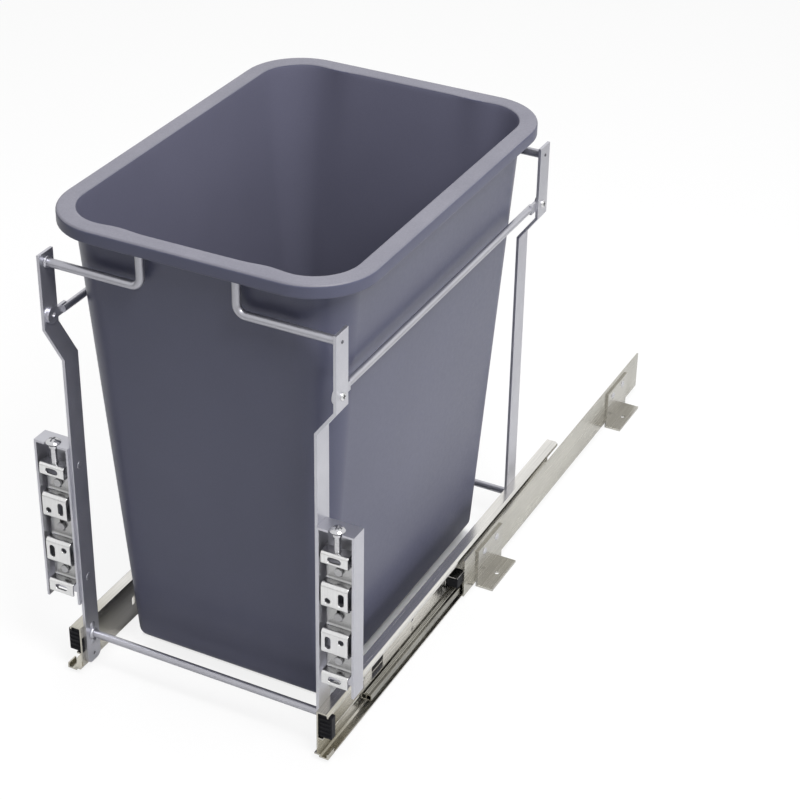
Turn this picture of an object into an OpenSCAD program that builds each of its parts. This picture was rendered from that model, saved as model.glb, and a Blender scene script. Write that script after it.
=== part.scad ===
// Pull-out bin frame: a steel frame on two ball slides that carries a lift-out waste bin
// and holds a door on two adjustable brackets.
// Millimetres, +X right, +Y to the rear, +Z up, drawn partly pulled out.
// The origin lies on the mounting floor at the centre of the four floor screw holes.

/* [Bin] */
// Outside width of the rim
bin_w = 266; // [250:1:290]
// Outside depth of the rim
bin_d = 370; // [340:1:400]
// Height of the bin
bin_h = 404; // [372:1:432]
// Height of the underside of the bin above the floor
bin_base = 13; // [8:1:28]
// Corner radius of the rim
rim_r = 52; // [50:1:60]
// Distance from the edge of the rim to the wall under it
rim_over = 13; // [12:0.5:14]
// Height of the turned-down skirt of the rim
rim_drop = 11; // [8:0.5:16]
// Thickness of the skirt
skirt_t = 2; // [1.5:0.1:3]
// Thickness of the walls, the rim and the floor
bin_wall = 2.2; // [1.6:0.1:3]
// Distance that each wall leans in from rim to foot
bin_taper = 30.5; // [24:0.5:31]
// Rounding between the walls and the floor of the bin
foot_fillet = 8.5; // [6:0.5:9]

/* [Frame] */
// Width of the flat bar of the uprights
bar_w = 18; // [16:0.5:22]
// Thickness of the flat bar of the uprights
bar_t = 2.5; // [2:0.1:4]
// Height of the lower ends of the uprights above the floor
bar_foot = 5; // [4:0.5:8]
// Corner radius of the lower ends of the uprights
bar_foot_r = 6; // [3:0.5:8]
// Outward step of an upright at its bend
bar_step = 16; // [10:0.5:20]
// Height of the sloping stretch of an upright
bar_bend_h = 22; // [18:1:30]
// Distance from the side rod down to the bend
bar_bend_drop = 10; // [8:0.5:16]
// Length of an upright above its rim wire
bar_end = 8.5; // [6:0.5:14]
// Diameter of the rim wires
wire_d = 7; // [5:0.5:8]
// Rise of a rim wire from its level stretch to its tip
wire_rise = 37.5; // [30:0.5:48]
// Distance of an upturned wire end from the middle of the frame
wire_half = 41; // [25:1:60]
// Centre-line radius of the bend of a rim wire
wire_bend = 8; // [6:0.5:12]
// Gap between a rim wire and the skirt of the rim
wire_gap = 2.5; // [1:0.5:4]
// Gap between the tip of a rim wire and the rim that it carries
seat_gap = 0.3; // [0.2:0.1:0.6]
// Diameter of the side rods
side_rod_d = 6; // [5:0.5:7]
// Drop from the rim wires to the side rods
side_rod_drop = 45; // [36:1:60]
// Gap between a side rod and the wall of the bin
side_rod_gap = 5.1; // [3:0.1:9]
// Diameter of the flattened eye at each end of a side rod
eye_d = 14; // [12:0.5:16]
// Thickness of the flattened eye
eye_t = 2.6; // [2:0.1:3.5]
// Diameter of the cross rods
cross_rod_d = 6.5; // [5:0.5:7]
// Height of the cross rods above the floor
cross_rod_z = 33; // [31:0.5:33.5]

/* [Slides] */
// Length of a drawer rail and of a middle rail
rail_l = 450; // [400:1:500]
// Length of a fixed rail
fixed_l = 419; // [380:1:450]
// Distance of the middle rails ahead of the fixed rails with the frame pushed in
middle_lead = 31; // [26:0.5:33]
// Height of the slides above the floor
rail_z = 5; // [4:0.5:10]
// Thickness of the rail sheet
rail_t = 1.4; // [1.2:0.1:1.6]
// Height of the ball races of the rails
race_h = 14; // [13.5:0.5:16]
// Height of the side of a drawer rail above its race
side_h = 26; // [25:0.5:30]
// Width of the top flange of a drawer rail
flange_w = 10.8; // [9:0.2:12]
// Height of the rolled edge of the top flange
curl_h = 3.8; // [3:0.2:5]
// Width of the apron along the foot of a drawer rail
apron_w = 12.6; // [11:0.2:13]
// Clearance between the apron and the fixed rail over it
apron_gap = 0.6; // [0.4:0.1:1]
// Length of the turned-up edge at the front of the apron
nose_l = 10; // [6:0.5:10]
// Height of the turned-up edge
nose_h = 5; // [3:0.5:6]
// Height of a fixed rail
fixed_h = 38; // [30:0.5:38]
// Distance of the drawer rails ahead of the uprights
rail_lead = 4.4; // [3:0.2:8]
// Distance of the apron ahead of its drawer rail
nose_lead = 4; // [2:0.5:6]
// Diameter of the bearing balls
ball_d = 2.4; // [2:0.1:2.6]
// Clearance between a ball and its races
ball_gap = 0.1; // [0.05:0.05:0.2]
// Width of each of the two beads of a middle rail
bead_w = 4.8; // [4.2:0.1:5]
// Distance from the side of a middle rail to its ball rows
row_in = 1.3; // [1.2:0.1:1.6]
// Wall of the bead of a middle rail
bead_t = 1; // [0.8:0.1:1.2]
// Thickness of a ball cage
cage_t = 0.6; // [0.4:0.1:0.8]
// Clearance of a ball cage and of nested rails
run_gap = 0.4; // [0.3:0.05:0.6]
// Distance between neighbouring balls
ball_pitch = 20; // [12:1:30]
// Length of the ball cage between a drawer rail and its middle rail
inner_cage_l = 248; // [200:1:280]
// Distance from the front of a middle rail to its ball cage as drawn
inner_cage_in = 46; // [44:1:60]
// Length of the ball cage between a middle rail and its fixed rail
outer_cage_l = 116; // [100:1:118]
// Distance from the front of a fixed rail to its ball cage as drawn
outer_cage_in = 88; // [87:1:90]
// Distance from the front of a drawer rail to the slit in its side
slit_in = 75; // [60:1:80]
// Distance from the front of a drawer rail to the release window in its side
window_in = 91; // [85:1:100]
// Length of the release window
window_l = 20; // [12:1:30]
// Height of the release window
window_h = 8; // [6:0.5:12]
// Distance from the front of a drawer rail to the peep hole in its side
peep_in = 165; // [140:1:180]
// Diameter of the peep hole
peep_d = 4; // [3:0.5:6]
// Length of the plug in the front end of a drawer rail
plug_l = 7; // [5:0.5:8]
// Set-back of the plug from the front end of its rail
plug_in = 1; // [1:0.5:5]
// Width of the plug
plug_w = 11.4; // [9:0.2:11.6]
// Clearance between the plug and the fixed rail that it passes
plug_gap = 0.5; // [0.3:0.1:1]

/* [Door brackets] */
// Width of a door channel
channel_w = 32; // [30:0.5:38]
// Depth of a door channel
channel_d = 15.6; // [15:0.2:20]
// Thickness of the channel sheet
channel_t = 2; // [1.5:0.1:3]
// Height of the channels above the floor
channel_z = 68; // [55:1:75]
// Distance of the door strip in front of its channel
strip_proud = 2; // [1:0.5:4]
// Thickness of the door strip
strip_t = 2; // [1.5:0.1:2.5]
// Width of the door strip
strip_w = 23; // [21:0.5:25]
// Depth from the plates of a strip to its recesses
strip_recess = 9; // [8.5:0.5:10]
// Height of the end plates of a strip
plate_end_h = 11.5; // [11:0.5:14]
// Height of the middle plates of a strip
plate_mid_h = 23; // [20:0.5:26]
// Height of the recesses next to the end plates
recess_end_h = 17.5; // [17:0.5:20]
// Height of the middle recess
recess_mid_h = 21; // [17:0.5:24]
// Room under the strip in its channel
strip_foot = 8; // [6:0.5:12]
// Room over the strip in its channel
strip_head = 19; // [16:0.5:24]
// Adjustment of the strip up and down
strip_adjust = 3; // [1:0.5:3]
// Width of the slots and holes for the door screws
door_hole = 5; // [4:0.1:5.5]
// Length of the slots for the door screws
door_slot = 11.5; // [8:0.5:13]
// Diameter of the adjusting screw
adjuster_d = 5; // [4:0.5:6]
// Diameter of the head of the adjusting screw
adjuster_head_d = 12.6; // [10:0.2:14]
// Height of the head of the adjusting screw
adjuster_head_h = 3; // [2.4:0.2:4]
// Diameter of the clamp screws
clamp_d = 4; // [3:0.5:4]
// Diameter of the heads of the clamp screws
clamp_head_d = 7; // [6:0.5:7]

/* [Floor mounting] */
// Distance that the frame is pulled out as drawn
pull_out = 188.5; // [120:0.5:200]
// Distance of the fixed rails behind the front edge of the floor
rail_setback = 34; // [30:0.5:40]
// Distance from the front edge of the floor to the front screw holes
hole_setback = 95; // [70:1:110]
// Distance from the rear screw holes to the rear end of the fixed rails
rear_hole_in = 58; // [40:1:80]
// Diameter of the floor screw holes
floor_hole = 4.5; // [4:0.1:6]
// Length of a floor bracket
bracket_l = 50; // [40:1:60]
// Height of a floor bracket
bracket_h = 38; // [24:1:42]
// Thickness of a floor bracket
bracket_t = 2; // [1.5:0.1:3]
// Width of the foot of a floor bracket
bracket_foot = 16.4; // [15:0.2:24]
// Width of the plastic stop inside the front end of a fixed rail
stop_w = 10.6; // [9:0.2:11.4]
// Length of the plastic stop
stop_l = 14; // [10:1:20]
// Height of the plastic stop
stop_h = 10.5; // [8:0.5:16]

/* [Fasteners] */
// Diameter of the rivets and of the side rod screws
rivet_d = 4; // [3:0.1:4.5]
// Diameter of the heads of the rivets and screws
rivet_head_d = 7; // [6:0.1:7.5]
// Height of the heads of the rivets and screws
rivet_head_h = 1.6; // [1:0.1:2.2]
// Clearance of a rivet or screw in its hole
rivet_gap = 0.1; // [0.05:0.05:0.3]
// Distance between the two rivets in the foot of an upright
foot_rivet_pitch = 15.5; // [14.5:0.5:15.5]
// Distance from the foot of a door channel to its lower rivet
channel_rivet_low = 23; // [15:1:40]
// Distance from the top of a door channel to its upper rivet
channel_rivet_high = 20; // [12:1:40]

/* [Hidden] */
$fn = 48;
// Room that a cut reaches past a face
past = 1;
// Share of the frame's travel that a middle rail makes
mid_share = 0.67;
steel = "silver";
paint = [0.72, 0.72, 0.75];
zinc = [0.78, 0.78, 0.76];
black = [0.08, 0.08, 0.09];
plastic = [0.30, 0.31, 0.37];

// Heights, all taken down from the rim
rim_z = bin_base + bin_h;
wire_tip_z = rim_z - bin_wall - seat_gap;
wire_z = wire_tip_z - wire_rise;
side_rod_z = wire_z - side_rod_drop;
bend_top_z = side_rod_z - bar_bend_drop;
bend_low_z = bend_top_z - bar_bend_h;
bar_top_z = wire_z + bar_end;

// Bin: corner radius of the wall under the rim, and half lengths of the straight sides
body_r = rim_r - rim_over;
bin_half_x = bin_w / 2 - rim_r;
bin_half_y = bin_d / 2 - rim_r;
bin_lean = atan(bin_taper / bin_h);
bin_fillet = min(foot_fillet, body_r - bin_taper);

// Half width of the wall of the bin at the height of the side rods
wall_half = bin_w / 2 - rim_over - bin_taper * (rim_z - side_rod_z) / bin_h;
// Inner faces of the uprights above and below the bend, and the outer face below it
bar_x_top = wall_half + side_rod_gap + side_rod_d;
bar_x = bar_x_top - bar_step;
rail_x = bar_x + bar_t;
// Half distance between the centre lines of front and rear uprights
bar_y = bin_d / 2 - skirt_t - wire_gap - wire_d / 2;

// Places along the depth, from the middle between the front and rear screw holes
hole_pitch = fixed_l + rail_setback - hole_setback - rear_hole_in;
floor_y = -hole_setback - hole_pitch / 2;
front_y = floor_y - pull_out;
bin_y = front_y + bar_w / 2 + bar_y;
front_bar_y = bin_y - bar_y;
rear_bar_y = bin_y + bar_y;
drawer_y = front_y - rail_lead;
fixed_rail_y = floor_y + rail_setback;
middle_y = fixed_rail_y - middle_lead - mid_share * pull_out;

// Section of a slide: u runs outwards from the upright, z up from the foot of the slide
ball_room = ball_d + 2 * ball_gap;
cage_room = cage_t + 2 * run_gap;
race_low = rail_t + ball_room;
race_top = race_h - rail_t;
bead_u = rail_t + cage_room;
bead_split = bead_u + bead_w;
bead_end = bead_split + bead_w;
fixed_web_u = bead_end + cage_room;
fixed_u = fixed_web_u + rail_t;
bead_h = race_top - ball_room - race_low;
rail_h = race_h + side_h;
apron_z = -apron_gap - rail_t;
window_z = rail_z + race_h + run_gap;
// Heights of the lower and upper ball rows, and their places inside and outside the middle rail
ball_rows = [rail_t + ball_room / 2, race_top - ball_room / 2];
inner_ball_u = bead_u + row_in;
outer_ball_u = bead_end - row_in;
// Edges of the race lips of a drawer rail and of a fixed rail
lip_u = inner_ball_u + ball_d / 2 + run_gap;
fixed_lip_u = outer_ball_u - ball_d / 2 - run_gap;
// Middles of the floor brackets along the depth, and the place of the two rivets in each
bracket_y = [-hole_pitch / 2, hole_pitch / 2];
bracket_rivet_side = bracket_l / 4;
bracket_rivet_z = rail_z + (race_h + fixed_h) / 2;

// Door bracket: depths count from the front face of the strip
strip_h = 2 * plate_end_h + 2 * plate_mid_h + 2 * recess_end_h + recess_mid_h;
channel_h = strip_foot + strip_h + strip_head;
channel_y = front_y - rail_lead + strip_proud;
strip_y = channel_y - strip_proud;
strip_z = channel_z + strip_foot;
strip_x = rail_x + channel_w / 2;
channel_top = channel_z + channel_h;
adjuster_in = strip_recess * 2 / 3;
adjuster_gap = 0.3;
adjuster_end = strip_z + strip_h - plate_end_h + strip_t + strip_adjust + 2 * adjuster_gap;
collar_h = 2;
collar_d = adjuster_d + 3;
// Lower edges of the plates, from the foot of the strip
plate_z = [0,
  plate_end_h + recess_end_h,
  plate_end_h + recess_end_h + plate_mid_h + recess_mid_h,
  strip_h - plate_end_h];
plate_h = [plate_end_h, plate_mid_h, plate_mid_h, plate_end_h];
// Middles of the recesses, from the foot of the strip
recess_z = [for (i = [0:2]) (plate_z[i] + plate_h[i] + plate_z[i + 1]) / 2];
clamp_slot = clamp_d + 2 * adjuster_gap;
clamp_head_h = 2.5;
// Offset of the small hole and the upright slot from the middle of a middle plate
hole_side = strip_w / 4;
hole_drop = plate_mid_h / 6;

// Rivets: heights of the two in each foot, and of the two in each door channel
foot_rivet_z = [cross_rod_z - foot_rivet_pitch / 2, cross_rod_z + foot_rivet_pitch / 2];
channel_rivet_z = [channel_z + channel_rivet_low, channel_top - channel_rivet_high];
// Small jig hole in the foot of each upright
jig_hole_d = 3;
jig_hole_z = rail_z + race_h / 2;
floor_hole_x = rail_x + fixed_u + bracket_t + (bracket_foot - bracket_t) / 2;

// Shared shapes

// Mirrors its children to the left side when side is -1
module on_side(side) {
  mirror([side < 0 ? 1 : 0, 0, 0]) children();
}

// Rectangle from the origin with rounded corners, of true arcs
module rounded_rect(size, r) {
  translate([r, 0]) square([size.x - 2 * r, size.y]);
  translate([0, r]) square([size.x, size.y - 2 * r]);
  for (x = [r, size.x - r], y = [r, size.y - r])
    translate([x, y]) circle(r);
}

// Extrudes a section drawn in (u, z) along +Y from y, u outwards from the right upright
module rail_section(y, length) {
  translate([rail_x, y + length, rail_z]) rotate([90, 0, 0]) linear_extrude(length) children();
}

// Extrudes an outline drawn in (y, z) along +X from x
module along_x(x, length) {
  translate([x, 0, 0]) rotate([90, 0, 90]) linear_extrude(length) children();
}

// Cylinder along +X from a point
module x_pin(p, d, length) {
  translate(p) rotate([0, 90, 0]) cylinder(d = d, h = length);
}

// Cylinder along +Y from a point
module y_pin(p, d, length) {
  translate(p) rotate([-90, 0, 0]) cylinder(d = d, h = length);
}

// Low domed head that stands on the XY plane
module domed_head(d, h) {
  r = (d * d / 4 + h * h) / (2 * h);
  intersection() {
    translate([0, 0, h - r]) sphere(r);
    cylinder(d = d, h = h);
  }
}

// Half section of the space inside the wall of the bin, with its faces moved in by t.
// It is drawn from the axis of a corner outwards, up to the height top.
module bin_fill(t, top) {
  fillet = bin_fillet - t;
  foot = body_r - bin_taper - t;
  mid_z = t + fillet;
  mid_r = foot + mid_z * tan(bin_lean) - fillet / cos(bin_lean);
  polygon([
    [0, t], [mid_r, t], [mid_r, mid_z],
    [mid_r + fillet * cos(bin_lean), mid_z - fillet * sin(bin_lean)],
    [foot + top * tan(bin_lean), top], [0, top]]);
  translate([mid_r, mid_z]) intersection() {
    circle(fillet);
    translate([0, -fillet]) square(fillet);
  }
}

// Half section of the wall, floor and turned-down rim of the bin
module bin_section() {
  rim_low = bin_h - rim_drop;
  difference() {
    union() {
      bin_fill(0, bin_h);
      difference() {
        translate([0, rim_low]) square([rim_r, rim_drop]);
        translate([0, rim_low - past]) square([rim_r - skirt_t, rim_drop - bin_wall + past]);
      }
    }
    bin_fill(bin_wall, bin_h + past);
  }
}

// Straight stretch of the bin's wall: facing +X at half_a, as long as 2 * half_b
module bin_side(half_a, half_b) {
  translate([half_a, half_b, 0]) rotate([90, 0, 0]) linear_extrude(2 * half_b) bin_section();
}

// Waste bin with its turned-down rim: four corners, four sides and the middle of the floor
module bin() {
  corners = [[1, 1], [-1, 1], [-1, -1], [1, -1]];
  color(plastic) translate([0, bin_y, bin_base]) {
    for (i = [0:3])
      translate([corners[i].x * bin_half_x, corners[i].y * bin_half_y, 0])
        rotate([0, 0, 90 * i]) rotate_extrude(angle = 90) bin_section();
    for (turn = [0, 180])
      rotate([0, 0, turn]) bin_side(bin_half_x, bin_half_y);
    for (turn = [90, 270])
      rotate([0, 0, turn]) bin_side(bin_half_y, bin_half_x);
    translate([-bin_half_x, -bin_half_y, 0]) cube([2 * bin_half_x, 2 * bin_half_y, bin_wall]);
  }
}

// Outline of the right uprights in (x, z), with the outward bend
module upright_outline() {
  lean = atan(bar_step / bar_bend_h);
  shift = bar_t * tan(lean / 2);
  polygon([
    [bar_x, bar_foot], [bar_x, bend_low_z], [bar_x_top, bend_top_z], [bar_x_top, bar_top_z],
    [bar_x_top + bar_t, bar_top_z], [bar_x_top + bar_t, bend_top_z - shift],
    [bar_x + bar_t, bend_low_z - shift], [bar_x + bar_t, bar_foot]]);
}

// Corner that is cut from the foot of the right upright centred on y
module foot_corner(y, side) {
  translate([bar_x - past, y + side * (bar_w / 2 - bar_foot_r), bar_foot + bar_foot_r])
    mirror([0, side < 0 ? 1 : 0, 0]) difference() {
      translate([0, 0, -bar_foot_r - past]) cube([bar_t + 2 * past, bar_foot_r + past, bar_foot_r + past]);
      x_pin([-past, 0, 0], 2 * bar_foot_r, bar_t + 4 * past);
    }
}

// Right upright centred on y
module upright(y) {
  hole = rivet_d + 2 * rivet_gap;
  color(paint) difference() {
    translate([0, y + bar_w / 2, 0]) rotate([90, 0, 0]) linear_extrude(bar_w) upright_outline();
    x_pin([bar_x_top - past, y, side_rod_z], hole, bar_t + 2 * past);
    for (z = foot_rivet_z)
      x_pin([bar_x - past, y, z], hole, bar_t + 2 * past);
    x_pin([bar_x - past, y, jig_hole_z], jig_hole_d, bar_t + 2 * past);
    for (side = [-1, 1])
      foot_corner(y, side);
    if (y < bin_y)
      for (z = channel_rivet_z)
        x_pin([bar_x - past, y, z], hole, bar_t + 2 * past);
  }
}

// Right rim wire at y: level from the upright, then turned up under the rim
module rim_wire(y) {
  level_x = wire_half + wire_bend;
  color(paint) {
    x_pin([level_x, y, wire_z], wire_d, bar_x_top - level_x);
    translate([level_x, y, wire_z + wire_bend]) rotate([90, 0, 0]) rotate([0, 0, 180])
      rotate_extrude(angle = 90) translate([wire_bend, 0]) circle(d = wire_d);
    translate([wire_half, y, wire_z + wire_bend])
      cylinder(d = wire_d, h = wire_rise - wire_bend);
  }
}

// Right side rod: a round bar whose flattened eyes lie on the inner faces of the uprights
module side_rod() {
  flat_spread = 2;
  flat_out = 2;
  tongue_h = side_rod_d + flat_spread;
  rod_start = front_bar_y + bar_w / 2 + flat_out;
  rod_end = rear_bar_y - bar_w / 2 - flat_out;
  eye_x = bar_x_top - eye_t;
  color(paint) difference() {
    union() {
      y_pin([bar_x_top - side_rod_d / 2, rod_start, side_rod_z], side_rod_d, rod_end - rod_start);
      for (y = [front_bar_y, rear_bar_y])
        x_pin([eye_x, y, side_rod_z], eye_d, eye_t);
      translate([eye_x, front_bar_y, side_rod_z - tongue_h / 2])
        cube([eye_t, rod_start + side_rod_d - front_bar_y, tongue_h]);
      translate([eye_x, rod_end - side_rod_d, side_rod_z - tongue_h / 2])
        cube([eye_t, rear_bar_y - rod_end + side_rod_d, tongue_h]);
    }
    for (y = [front_bar_y, rear_bar_y])
      x_pin([eye_x - past, y, side_rod_z], rivet_d + 2 * rivet_gap, eye_t + 2 * past);
  }
}

// Cross rod between the feet of two uprights
module cross_rod(y) {
  color(paint) x_pin([-bar_x, y, cross_rod_z], cross_rod_d, 2 * bar_x);
}

// Domed screw along +X whose head sits on the plane x and whose end lies inwards
module x_screw(x, y, z, length) {
  translate([x, y, z]) rotate([0, 90, 0]) {
    domed_head(rivet_head_d, rivet_head_h);
    translate([0, 0, -length]) cylinder(d = rivet_d, h = length);
  }
}

// Rectangle from the origin with its outer top corner rounded
module curled_rect(size, r) {
  square([size.x - r, size.y]);
  square([size.x, size.y - r]);
  translate([size.x - r, size.y - r]) intersection() {
    circle(r);
    square(r);
  }
}

// Section of the foot of a drawer rail: the lower race lip and the apron stepped down from it
module apron_section() {
  square([lip_u, rail_t]);
  translate([lip_u - rail_t, apron_z]) square([rail_t, rail_t - apron_z]);
  translate([lip_u - rail_t, apron_z]) square([apron_w - lip_u + rail_t, rail_t]);
}

// Section of a drawer rail: a channel that opens outwards, with a ball race in its foot
module drawer_section() {
  curl_r = 2 * rail_t;
  square([rail_t, rail_h]);
  apron_section();
  translate([0, race_top]) square([lip_u, rail_t]);
  translate([0, rail_h - curl_h]) difference() {
    curled_rect([flange_w, curl_h], curl_r);
    translate([rail_t, -past])
      curled_rect([flange_w - 2 * rail_t, curl_h - rail_t + past], curl_r - rail_t);
  }
}

// Right drawer rail, with the openings in its side and the turned-up nose of its apron
module drawer_rail() {
  wall_x = rail_x - past;
  wall_cut = rail_t + 2 * past;
  slit_l = window_h / 2;
  color(zinc) difference() {
    union() {
      rail_section(drawer_y, rail_l) drawer_section();
      rail_section(drawer_y - nose_lead, nose_lead) apron_section();
      rail_section(drawer_y - nose_lead, nose_l)
        translate([apron_w - rail_t, apron_z]) square([rail_t, nose_h]);
    }
    translate([wall_x, drawer_y + slit_in, window_z]) cube([wall_cut, slit_l, window_h]);
    translate([wall_x, drawer_y + window_in, window_z]) cube([wall_cut, window_l, window_h]);
    x_pin([wall_x, drawer_y + peep_in, window_z + window_h / 2], peep_d, wall_cut);
    for (y = [front_bar_y, rear_bar_y], z = foot_rivet_z)
      x_pin([wall_x, y, z], rivet_d + 2 * rivet_gap, wall_cut);
  }
}

// Black plug in the front end of the right drawer rail
module rail_plug() {
  fit_gap = 0.1;
  color(black) rail_section(drawer_y + plug_in, plug_l)
    translate([rail_t + fit_gap, race_h + plug_gap]) {
      square([plug_w, side_h - curl_h - plug_gap - fit_gap]);
      square([flange_w - 3 * rail_t - 2 * fit_gap, side_h - rail_t - plug_gap - fit_gap]);
    }
}

// Section of a middle rail: two hollow beads side by side
module middle_section() {
  bead_r = 1.2;
  translate([bead_u, race_low]) difference() {
    for (u = [0, bead_w])
      translate([u, 0]) rounded_rect([bead_w, bead_h], bead_r);
    for (u = [bead_t, bead_w + bead_t / 2])
      translate([u, bead_t]) square([bead_w - 1.5 * bead_t, bead_h - 2 * bead_t]);
  }
}

// Right middle rail
module middle_rail() {
  color(zinc) rail_section(middle_y, rail_l) middle_section();
}

// Section of the right fixed rail: an upright sheet with a ball race that opens inwards
module fixed_section() {
  translate([fixed_web_u, 0]) square([rail_t, fixed_h]);
  for (z = [0, race_top])
    translate([fixed_lip_u, z]) square([fixed_u - fixed_lip_u, rail_t]);
}

// Right ball cage: a bent strip round one bead, with a hole for each ball
module cage(y, length, ball_u, web_u) {
  low_u = min(web_u, ball_u - bead_w / 2 + run_gap);
  high_u = max(web_u + cage_t, ball_u + bead_w / 2 - run_gap);
  hole = ball_d + 2 * ball_gap;
  color(steel) difference() {
    rail_section(y, length) {
      translate([web_u, ball_rows[0] - cage_t / 2]) square([cage_t, ball_rows[1] - ball_rows[0] + cage_t]);
      for (z = ball_rows)
        translate([low_u, z - cage_t / 2]) square([high_u - low_u, cage_t]);
    }
    for (z = ball_rows, i = [1:floor(length / ball_pitch) - 1])
      translate([rail_x + ball_u, y + i * ball_pitch, rail_z + z - cage_t / 2 - past])
        cylinder(d = hole, h = cage_t + 2 * past);
  }
}

// Right bearing balls of one cage
module balls(y, length, ball_u) {
  color(steel)
    for (z = ball_rows, i = [1:floor(length / ball_pitch) - 1])
      translate([rail_x + ball_u, y + i * ball_pitch, rail_z + z]) sphere(d = ball_d);
}

module inner_cage() {
  cage(middle_y + inner_cage_in, inner_cage_l, inner_ball_u, rail_t + run_gap);
}

module inner_balls() {
  balls(middle_y + inner_cage_in, inner_cage_l, inner_ball_u);
}

module outer_cage() {
  cage(fixed_rail_y + outer_cage_in, outer_cage_l, outer_ball_u, bead_end + run_gap);
}

module outer_balls() {
  balls(fixed_rail_y + outer_cage_in, outer_cage_l, outer_ball_u);
}

// Right fixed rail
module fixed_rail() {
  color(zinc) difference() {
    rail_section(fixed_rail_y, fixed_l) fixed_section();
    for (y = bracket_y, side = [-1, 1])
      x_pin([rail_x + fixed_web_u - past, y + side * bracket_rivet_side, bracket_rivet_z],
        rivet_d + 2 * rivet_gap, rail_t + 2 * past);
  }
}

// Right floor bracket: an angle with its upright plate on the fixed rail and its foot outwards
module floor_bracket(y) {
  color(zinc) translate([rail_x + fixed_u, y - bracket_l / 2, 0]) difference() {
    union() {
      cube([bracket_t, bracket_l, bracket_h]);
      cube([bracket_foot, bracket_l, bracket_t]);
    }
    translate([floor_hole_x - rail_x - fixed_u, bracket_l / 2, -past])
      cylinder(d = floor_hole, h = bracket_t + 2 * past);
    for (side = [-1, 1])
      x_pin([-past, bracket_l / 2 + side * bracket_rivet_side, bracket_rivet_z],
        rivet_d + 2 * rivet_gap, bracket_t + 2 * past);
  }
}

// Black stop inside the front end of the right fixed rail, over its race
module rail_stop() {
  stop_r = 2;
  color(black) translate([rail_x + fixed_web_u - stop_w, fixed_rail_y, rail_z + race_h + plug_gap])
    along_x(0, stop_w) rounded_rect([stop_l, stop_h], stop_r);
}

// Right door channel: open to the front and below, with a notched lid
module door_channel() {
  notch = adjuster_d + 2 * adjuster_gap;
  notch_in = adjuster_in - strip_proud;
  color(paint) translate([rail_x, channel_y, channel_z]) difference() {
    cube([channel_w, channel_d, channel_h]);
    translate([channel_t, -past, -past])
      cube([channel_w - 2 * channel_t, channel_d - channel_t + past, channel_h - channel_t + past]);
    translate([channel_w / 2 - notch / 2, -past, channel_h - channel_t - past])
      cube([notch, notch_in + past, channel_t + 2 * past]);
    translate([channel_w / 2, notch_in, channel_h - channel_t - past])
      cylinder(d = notch, h = channel_t + 2 * past);
    for (z = recess_z)
      y_pin([channel_w / 2, channel_d - channel_t - past, strip_foot + z],
        clamp_d + 2 * rivet_gap, channel_t + 2 * past);
    for (z = channel_rivet_z)
      x_pin([-past, front_bar_y - channel_y, z - channel_z],
        rivet_d + 2 * rivet_gap, channel_t + 2 * past);
  }
}

// Section of a door strip in (y, z): four plates in front, joined by three recesses
module strip_section() {
  back = strip_recess + strip_t;
  for (i = [0:3]) {
    translate([0, plate_z[i]]) square([strip_t, plate_h[i]]);
    if (i > 0)
      translate([0, plate_z[i]]) square([back, strip_t]);
    translate([0, plate_z[i] + plate_h[i] - strip_t]) square([back, strip_t]);
  }
  for (i = [0:2])
    translate([strip_recess, plate_z[i] + plate_h[i] - strip_t])
      square([strip_t, plate_z[i + 1] - plate_z[i] - plate_h[i] + 2 * strip_t]);
}

// Slot along X through a plate, centred on a point
module plate_slot_x(x, z, length) {
  y_pin([x - (length - door_hole) / 2, -past, z], door_hole, strip_t + 2 * past);
  y_pin([x + (length - door_hole) / 2, -past, z], door_hole, strip_t + 2 * past);
  translate([x - (length - door_hole) / 2, -past, z - door_hole / 2])
    cube([length - door_hole, strip_t + 2 * past, door_hole]);
}

// Slot along Z with its front at y, through the thickness of the strip
module strip_slot_z(x, y, z, width, length) {
  half = (length - width) / 2;
  for (side = [-1, 1])
    y_pin([x, y - past, z + side * half], width, strip_t + 2 * past);
  translate([x - width / 2, y - past, z - half]) cube([width, strip_t + 2 * past, 2 * half]);
}

// Door strip centred on x. The same part serves both sides.
module door_strip(x) {
  lower_z = plate_z[1] + plate_mid_h / 2;
  upper_z = plate_z[2] + plate_mid_h / 2;
  color(zinc) translate([x, strip_y, strip_z]) difference() {
    along_x(-strip_w / 2, strip_w) strip_section();
    for (i = [0, 3])
      plate_slot_x(0, plate_z[i] + plate_end_h / 2, door_slot);
    y_pin([-hole_side, -past, upper_z - hole_drop], door_hole, strip_t + 2 * past);
    strip_slot_z(hole_side, 0, upper_z, door_hole, door_slot);
    y_pin([hole_side, -past, lower_z + hole_drop], door_hole, strip_t + 2 * past);
    strip_slot_z(-hole_side, 0, lower_z, door_hole, door_slot);
    for (z = recess_z)
      strip_slot_z(0, strip_recess, z, clamp_slot, clamp_slot + 2 * strip_adjust);
    translate([0, adjuster_in, strip_h - strip_t - past])
      cylinder(d = adjuster_d + 2 * adjuster_gap, h = strip_t + 2 * past);
  }
}

// Adjusting screw over x: head on the lid of the channel, collar under it, shank in the strip
module adjuster(x) {
  slit_w = 1.4;
  slit_h = 2;
  slit_l = 0.6 * adjuster_head_d;
  head_z = channel_top + adjuster_gap;
  color(steel) translate([x, strip_y + adjuster_in, 0]) difference() {
    union() {
      translate([0, 0, head_z]) domed_head(adjuster_head_d, adjuster_head_h);
      translate([0, 0, channel_top - channel_t - adjuster_gap - collar_h])
        cylinder(d = collar_d, h = collar_h);
      translate([0, 0, adjuster_end]) cylinder(d = adjuster_d, h = head_z - adjuster_end + slit_h / 2);
    }
    for (turn = [0, 90])
      translate([0, 0, head_z + adjuster_head_h - slit_h / 2]) rotate([0, 0, turn])
        cube([slit_l, slit_w, slit_h], center = true);
  }
}

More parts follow.
